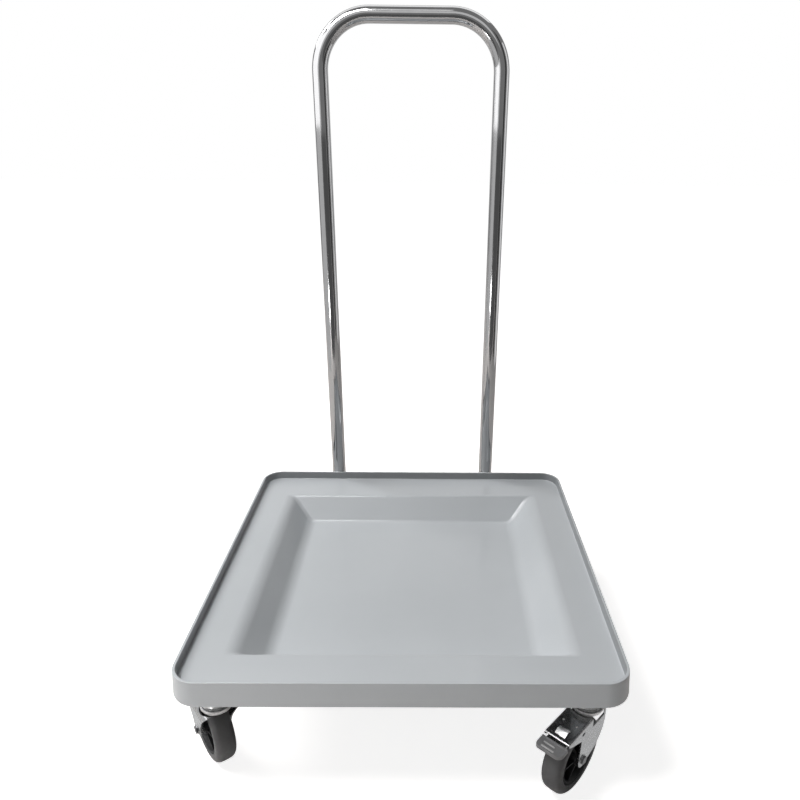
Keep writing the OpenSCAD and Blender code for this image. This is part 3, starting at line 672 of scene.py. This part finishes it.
def make_handle():
    """Bent tube with a real bore, swept along its centre line."""
    legs, bends, bar, around = 12, 24, 8, 48
    bend_x, bend_z = HANDLE_HALF - BEND_R, BAR_Z - BEND_R
    # x and z of the centre line with the angle through which it has turned, up the left leg and down the right
    path = [(-HANDLE_HALF, TUBE_END_Z + (bend_z - TUBE_END_Z) * i / legs, 0.0) for i in range(legs + 1)]
    for i in range(1, bends + 1):
        t = math.pi - math.pi / 2 * i / bends
        path.append((-bend_x + BEND_R * math.cos(t), bend_z + BEND_R * math.sin(t), math.pi - t))
    path += [(-bend_x + 2 * bend_x * i / bar, BAR_Z, math.pi / 2) for i in range(1, bar)]
    for i in range(bends + 1):
        t = math.pi / 2 - math.pi / 2 * i / bends
        path.append((bend_x + BEND_R * math.cos(t), bend_z + BEND_R * math.sin(t), math.pi - t))
    path += [(HANDLE_HALF, bend_z + (TUBE_END_Z - bend_z) * i / legs, math.pi) for i in range(1, legs + 1)]
    circle_angles = [2 * math.pi * k / around for k in range(around)]
    rings = []
    # the outside one way and the bore back again, each section square to the centre line
    for r, line in ((TUBE_R, path), (TUBE_R - TUBE_WALL, list(reversed(path)))):
        for x, z, turned in line:
            rings.append([(x - r * math.cos(t) * math.cos(turned), HANDLE_Y + r * math.sin(t),
                           z + r * math.cos(t) * math.sin(turned)) for t in circle_angles])
    ob = new_object("handle_tube", loft(rings), "handle")
    split_edges(ob, 60)
    settle(ob, "dolly", "handle")


make_tray()
make_ribs()
make_bosses()
make_sockets()
make_handle()


# ---------------------------------------------------------------- casters
AXLE = (TRAIL, 0, WHEEL_R)
# half width that a cutter needs to pass through both legs of a fork
THROUGH = 30


def mirrored(profile):
    """The same profile on the other side of the wheel, in the order that continues it."""
    return [(r, -h) for r, h in reversed(profile)]


def make_tyre(name):
    """Tread with rounded shoulders and a slightly crowned face."""
    shoulder_r = WHEEL_R - 0.25 - TREAD_ROUND
    side = [(CORE_R, -12.0), (CORE_R, -TREAD_HALF + 0.3), (CORE_R + 0.5, -TREAD_HALF), (shoulder_r - 1.0, -TREAD_HALF)]
    side += arc(shoulder_r, TREAD_ROUND - TREAD_HALF, TREAD_ROUND, -85, -1, 12)
    side.append((WHEEL_R - 0.08, -2.4))
    section = side + [(WHEEL_R, 0.0)] + mirrored(side)
    return new_object(name + "_tread", revolve(section, 128, AXLE, "y"), "tyre")


def make_core(name):
    """Hub, web and rim of the wheel in one turned piece, and its spokes."""
    side = [(5.05, -HUB_HALF), (9.5, -HUB_HALF), (10.2, -13.0), (11.0, -5.5), (12.0, -3.6), (14.0, -3.0),
            (29.5, -3.0), (31.0, -3.8), (32.9, -11.4), (33.4, -12.0), (CORE_R, -12.0)]
    hub = new_object(name + "_hub", revolve(side + mirrored(side), 96, AXLE, "y"), "core")
    weighted(hub)
    half = 1.25
    # radius, and the spoke's inner and outer height there
    ends = ((9.5, 2.6, 11.5), (32.2, 2.6, 9.5))
    bm = bmesh.new()
    for i in range(SPOKES):
        t = 2 * math.pi / SPOKES * i
        for sign in (-1, 1):
            add_box(bm, [(TRAIL + r * math.cos(t) - w * math.sin(t), sign * h,
                          WHEEL_R + (r * math.sin(t) + w * math.cos(t)))
                         for r, inner, outer in ends for w in (-half, half) for h in (inner, outer)])
    spokes = new_object(name + "_spokes", bm, "core", smooth=False)
    bevelled(spokes, 0.4, 2)
    return hub, spokes


def foot_arc(a0, a1):
    """Rounded foot of a leg, about the axle."""
    return arc(TRAIL, WHEEL_R, FOOT_R, a0, a1, int((a1 - a0) / 8))


# side views of the two forks, as (x, z)
BRAKE_OUTLINE = ([(-16, PLATE_Z + 0.01), (-18.3, PLATE_Z - 10), (-17.8, PLATE_Z - 23), (-15.4, PLATE_Z - 34),
                  (-9.6, PLATE_Z - 44), (-1.5, PLATE_Z - 52), (9, WHEEL_R - 3)]
                 + foot_arc(220, 360)
                 + [(TRAIL + FOOT_R, WHEEL_R + 8), (TRAIL + 8.3, PLATE_Z - 18.4), (TRAIL + 23.5, PLATE_Z - 12.2),
                    (REACH - 4.9, PLATE_Z - 7.8), (REACH - 0.6, PLATE_Z - 4.5), (REACH - 0.6, PLATE_Z + 0.01)])
PLAIN_OUTLINE = ([(-17, PLATE_Z + 0.01), (-12, PLATE_Z - 7), (-5.2, PLATE_Z - 15), (5, PLATE_Z - 29),
                  (13.9, PLATE_Z - 42)]
                 + foot_arc(190, 350)
                 + [(FREE_REACH, WHEEL_R + 8), (FREE_REACH, PLATE_Z + 0.01)])


def sheet_section(half, bend, lean):
    """Closed end view of the bent sheet, as (y, z), both legs."""
    steps = 8
    cy, cz = half - bend, PLATE_Z - bend
    run = (cz - LEG_END_Z) / math.cos(lean)

    def side(r):
        angles = [math.pi / 2 - (math.pi / 2 + lean) * i / steps for i in range(steps + 1)]
        end = (cy + r * math.cos(lean) - run * math.sin(lean), cz - r * math.sin(lean) - run * math.cos(lean))
        return [(cy + r * math.cos(t), cz + r * math.sin(t)) for t in angles] + [end]

    outer, inner = side(bend), side(bend - SHEET)
    right = outer + list(reversed(inner))
    left = [(-y, z) for y, z in right]
    n = len(outer)
    return list(reversed(left[:n])) + right + list(reversed(left[n:]))


def make_sheet(name, braked):
    """Bent sheet of a fork, with its seats round the axle and its holes."""
    if braked:
        half, bend, lean, outline = FORK_HALF, SHEET + 0.6, 0.0, BRAKE_OUTLINE
        seat_out = FORK_HALF + 0.5
    else:
        half, bend, lean, outline = FREE_HALF, FREE_BEND_R, SPLAY, PLAIN_OUTLINE
        seat_out = FREE_SEAT_OUT
    section = sheet_section(half, bend, lean)
    ob = new_object(name + "_sheet", prism(section, -HEAD_R, REACH + 1, "yz"), "zinc")
    boolean(ob, prism(outline, -half - 1, half + 1), "zinc", "INTERSECT")
    for sign in (-1, 1):
        y0, y1 = sorted((sign * AXLE_SEAT_IN, sign * seat_out))
        boolean(ob, revolve(rectangle(AXLE_HOLE_R, AXLE_SEAT_R, y0, y1), 48, AXLE, "y"), "zinc", "UNION")
    # room for the bowl, and the axle's hole
    boolean(ob, revolve(rectangle(0.01, HEAD_R + 1.5, 90, PLATE_Z + 0.6), 64), "zinc")
    boolean(ob, prism(circle(TRAIL, WHEEL_R, AXLE_HOLE_R, 48), -THROUGH, THROUGH), "zinc")
    if braked:
        # slot for the spring's tongue, holes for the pedal's pin, and a nick in each leg
        tongue_slot = rectangle(*TONGUE_SLOT_X, PLATE_Z - 9, PLATE_Z + 6)
        boolean(ob, prism(tongue_slot, -TONGUE_SLOT_HALF, TONGUE_SLOT_HALF), "zinc")
        boolean(ob, prism(circle(PIVOT_X, PIVOT_Z, PIN_HOLE_R, 24), -THROUGH, THROUGH), "zinc")
        boolean(ob, prism(rectangle(*NICK_X, *NICK_Z), -THROUGH, THROUGH), "zinc")
    bevelled(ob, 0.45, 3, 35)
    return ob


def make_bowl(name):
    """Pressed bowl of a fork's head, with the kingpin's hole in its floor."""
    cx, cz, inner = HEAD_R - BOWL_R, PLATE_UNDER + BOWL_R, BOWL_R - SHEET
    section = [(KINGPIN_HOLE_R, PLATE_UNDER)] + arc(cx, cz, BOWL_R, -90, 0, 9)
    section += [(HEAD_R, DISH_Z - 0.9), (HEAD_R - 0.25, DISH_Z - 0.25), (HEAD_R - 0.9, DISH_Z),
                (HEAD_R - SHEET + 0.4, DISH_Z), (HEAD_R - SHEET, DISH_Z - 0.4)]
    section += arc(cx, cz, inner, 0, -90, 6) + [(KINGPIN_HOLE_R, PLATE_Z)]
    # the bowl's pale half-matt steel is painted sheen
    ob = new_object(name + "_bowl", revolve(section, 96), "head")
    split_edges(ob, 50)
    return ob


def make_plate_details(name):
    """Hem along the front edge of the braked fork, and the two pips pressed into its plate."""
    hem = prism(circle(REACH - HEM_R, PLATE_Z - 0.88, HEM_R, 24), -FORK_HALF + 0.5, FORK_HALF - 0.5)
    # the hem and the pips take the near white steel as a painted highlight
    lip = new_object(name + "_lip", hem, "bright")
    bevelled(lip, 0.3, 2, 60)
    pieces = [lip]
    for y, end in ((-PIP_Y, "_pip_a"), (PIP_Y, "_pip_b")):
        pip = bmesh.new()
        bmesh.ops.create_uvsphere(pip, u_segments=24, v_segments=12, radius=PIP_R * MM)
        bmesh.ops.translate(pip, verts=pip.verts, vec=Vector((PIP_X, y, PLATE_Z - 0.6)) * MM)
        pieces.append(new_object(name + end, pip, "bright"))
    return pieces


def make_fork(name, braked):
    pieces = [make_sheet(name, braked), make_bowl(name)]
    return pieces + make_plate_details(name) if braked else pieces


def make_pedal(name):
    """Plastic pad with rounded corners, a groove and two grip ribs, on its sloping lever."""
    back, front, half, low, top = 14.0, 31.0, 17.5, -3.15, 2.35
    round_a, round_b = 4.5, 8.0
    outline = ([(back, -half)] + arc(front - round_a, -half + round_a, round_a, -90, 0, 10)
               + arc(front - round_b, half - round_b, round_b, 0, 90, 10) + [(back, half)])
    pad = new_object(name + "_pad", prism(outline, low, top, "xy"), "pedal")
    groove = bmesh.new()
    straight_box(groove, (back + 2, -half - 1, top - 0.8), (back + 3.4, half + 1, top + 1))
    boolean(pad, groove, "pedal")
    bevelled(pad, 1.1, 4)
    bm = bmesh.new()
    for x, end in ((front - 2.8, 6.5), (front - 8.6, 4.5)):
        straight_box(bm, (x - 0.9, -10.5, top - 0.5), (x + 0.9, end, top + 1.2))
    # the grip ribs take the paler plastic as a painted highlight
    ribs = new_object(name + "_pad_ribs", bm, "wear_and_highlight", smooth=False)
    bevelled(ribs, 0.5, 3)
    slope = Matrix.Translation(Vector((PIVOT_X, 0, PIVOT_Z)) * MM) @ Matrix.Rotation(PEDAL_SLOPE, 4, "Y")
    for ob in (pad, ribs):
        ob.data.transform(slope)
    return pad, ribs


def make_caster(name, sx, sy, turn, braked):
    """Makes a caster's pieces in its own axes and moves their vertices to its corner."""
    corner = Matrix.Translation(Vector((sx * CASTER_X, sy * CASTER_Y, 0)) * MM)
    corner = corner @ Matrix.Rotation(math.radians(turn), 4, "Z")
    groups = [
        ([make_tyre(name)], "_wheel", "tyre", "_tyre"),
        (make_core(name), "_wheel", "core", "_wheel_core"),
        (make_fork(name, braked), "_swivel", "zinc", "_fork"),
    ]
    if braked:
        groups.append((make_pedal(name), "_pedal", "pedal", "_pedal_pad"))
    for pieces, body, key, node in groups:
        for piece in pieces:
            piece.data.transform(corner)
            settle(piece, name + body, name + node)


for caster in CASTERS:
    make_caster(*caster)


# materials of the CAD nodes that stay
CASTER_NODES = {
    # the upper race takes the painted sheen, the ball race and the spring the near white painted highlight
    "upper_race": "head", "kingpin": "zinc", "ball_race": "bright", "axle_bolt": "dark", "axle_nut": "dark",
    "axle_sleeve": "zinc", "brake_spring": "bright", "pedal_pin": "zinc", "brake_lever": "zinc",
}


def dress(node, key):
    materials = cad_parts[node].data.materials
    materials.clear()
    materials.append(MAT[key])


for caster in CASTERS:
    for part, part_key in CASTER_NODES.items():
        part_node = caster[0] + "_" + part
        if part_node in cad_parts:
            dress(part_node, part_key)
for part_node in ("handle_bolts", "handle_nuts", "caster_inserts"):
    dress(part_node, "zinc")


# ---------------------------------------------------------------- studio, in metres and watts
FLOOR_HALF = 12.0
FLOOR_COLOUR = (0.84, 0.80, 0.77)
# the floor's own light for the camera, from below the object out to the white beyond it
FLOOR_GLOW = (0.84, 1.0)
FLOOR_GLOW_AT = (1.4, 3.2)
FLOOR_IN_REFLECTIONS = 0.14
WORLD_LIGHT = 0.05
WORLD_IN_REFLECTIONS = 0.33
# name, place, aim, size, height if it isn't square, power
LAMPS = (
    ("key", (-2.24, 1.16, 2.43), (0.0, 0.0, 0.15), 1.2, None, 50.0),
    ("top", (-0.84, -0.42, 2.02), (0.0, 0.0, 0.15), 0.6, None, 26.5),
    ("fill", (-0.75, -1.3, 0.12), (-0.05, -0.27, 0.15), 0.7, 0.12, 3.7),
)
# upright cards: name, two points on the floor, low and high edge, strength
CARDS = (
    ("card_left", (-0.80, -1.02), (-1.45, 0.75), 0.78, 1.7, 2.3),
    ("card_left_low", (-0.80, -1.02), (-1.45, 0.75), 0.02, 0.78, 0.85),
    ("card_left_side", (-0.42, -1.25), (-0.80, -1.02), 0.78, 1.7, 1.0),
    ("flag_right", (1.05, -0.62), (1.32, -0.22), 0.02, 1.9, 0.07),
    ("flag_front", (-0.55, -1.05), (1.00, -0.92), 0.0, 0.76, 0.15),
    ("card_front_high", (-0.7, -1.35), (1.0, -1.35), 1.35, 2.3, 1.0),
    ("card_strip", (1.3, 0.12), (1.3, 0.80), 0.02, 1.6, 1.3),
    ("card_back", (-1.5, 1.5), (1.5, 1.5), 0.02, 1.2, 0.8),
)
# level boards: name, x from and to, y from and to, height at the front and at the back, strength
LEVEL_BOARDS = (
    # overhead, brighter on the left, for the thin lines along the well's crisp edges
    ("strip_0", -0.95, -0.2, -0.93, -0.33, 2.08, 2.08, 13.0),
    ("strip_1", -0.2, 0.12, -0.93, -0.33, 2.08, 2.08, 1.2),
    # grey cards on the floor that the forks of the front casters reflect
    ("floor_card_left", -0.42, -0.27, -0.26, -0.09, 0.004, 0.004, 0.8),
    ("floor_card_right", 0.25, 0.37, -0.31, -0.17, 0.004, 0.004, 0.75),
    ("card_top", -1.0, 1.0, 0.55, 1.7, 2.1, 2.0, 1.6),
)


def area_light(name, at, aim, size, size_y, power):
    data = bpy.data.lights.new(name, "AREA")
    data.energy = power
    data.size = size
    if size_y:
        data.shape = "RECTANGLE"
        data.size_y = size_y
    ob = bpy.data.objects.new(name, data)
    ob.location = at
    ob.rotation_euler = (Vector(aim) - Vector(at)).to_track_quat("-Z", "Y").to_euler()
    bpy.context.scene.collection.objects.link(ob)


def flat_material(name, strength):
    """Plain emission for a board that only reflections see."""
    n = Nodes(name)
    glow = n.add("ShaderNodeEmission")
    glow.inputs["Color"].default_value = WHITE
    glow.inputs["Strength"].default_value = strength
    n.link(glow.outputs[0], n.out.inputs["Surface"])
    return n.mat


def flat_object(name, corners, material):
    mesh = bpy.data.meshes.new(name)
    mesh.from_pydata(corners, [], [(0, 1, 2, 3)])
    mesh.materials.append(material)
    ob = bpy.data.objects.new(name, mesh)
    bpy.context.scene.collection.objects.link(ob)
    return ob


def board(name, corners, strength):
    """Flat studio board through four corners, seen in reflections alone."""
    ob = flat_object(name, corners, flat_material(name, strength))
    ob.visible_camera = False
    ob.visible_diffuse = False
    ob.visible_shadow = False
    ob.visible_transmission = False


def make_world():
    """White for the camera, a plain dim level for the object, and a brighter one in its reflections."""
    world = bpy.data.worlds.new("studio")
    bpy.context.scene.world = world
    world.use_nodes = True
    tree = world.node_tree
    tree.nodes.clear()
    out = tree.nodes.new("ShaderNodeOutputWorld")
    path = tree.nodes.new("ShaderNodeLightPath")

    def background(strength):
        node = tree.nodes.new("ShaderNodeBackground")
        node.inputs["Color"].default_value = WHITE
        node.inputs["Strength"].default_value = strength
        return node.outputs[0]

    def switch(ray, others, chosen):
        node = tree.nodes.new("ShaderNodeMixShader")
        for source, socket in zip((path.outputs[ray], others, chosen), node.inputs):
            tree.links.new(source, socket)
        return node.outputs[0]

    level = switch("Is Glossy Ray", background(WORLD_LIGHT), background(WORLD_IN_REFLECTIONS))
    tree.links.new(switch("Is Camera Ray", level, background(1.0)), out.inputs["Surface"])


def make_floor():
    """Matt floor that keeps the shadow and fades to white far from the object."""
    n = Nodes("floor")
    n.set(Base_Color=FLOOR_COLOUR, Roughness=0.9, Specular_IOR_Level=0.1)
    glow = n.add("ShaderNodeEmission")
    glow.inputs["Color"].default_value = WHITE
    path = n.add("ShaderNodeLightPath")
    away = n.add("ShaderNodeVectorMath", operation="LENGTH")
    n.link(n.coords(), away.inputs[0])
    white = n.remap(away.outputs["Value"], *FLOOR_GLOW, *FLOOR_GLOW_AT)
    seen = n.math("MULTIPLY", path.outputs["Is Camera Ray"], white)
    reflected = n.math("MULTIPLY", path.outputs["Is Glossy Ray"], FLOOR_IN_REFLECTIONS)
    n.link(n.math("ADD", seen, reflected), glow.inputs["Strength"])
    both = n.add("ShaderNodeAddShader")
    n.link(n.bsdf.outputs[0], both.inputs[0])
    n.link(glow.outputs[0], both.inputs[1])
    n.link(both.outputs[0], n.out.inputs["Surface"])
    s = FLOOR_HALF
    flat_object("floor", [(-s, -s, 0), (s, -s, 0), (s, s, 0), (-s, s, 0)], n.mat)


def make_studio():
    bpy.context.scene.view_settings.view_transform = "Standard"
    make_world()
    make_floor()
    for lamp in LAMPS:
        area_light(*lamp)
    for name, a, b, low, high, strength in CARDS:
        board(name, [(*a, low), (*b, low), (*b, high), (*a, high)], strength)
    for name, x0, x1, y0, y1, front, back, strength in LEVEL_BOARDS:
        board(name, [(x0, y0, front), (x1, y0, front), (x1, y1, back), (x0, y1, back)], strength)


make_studio()
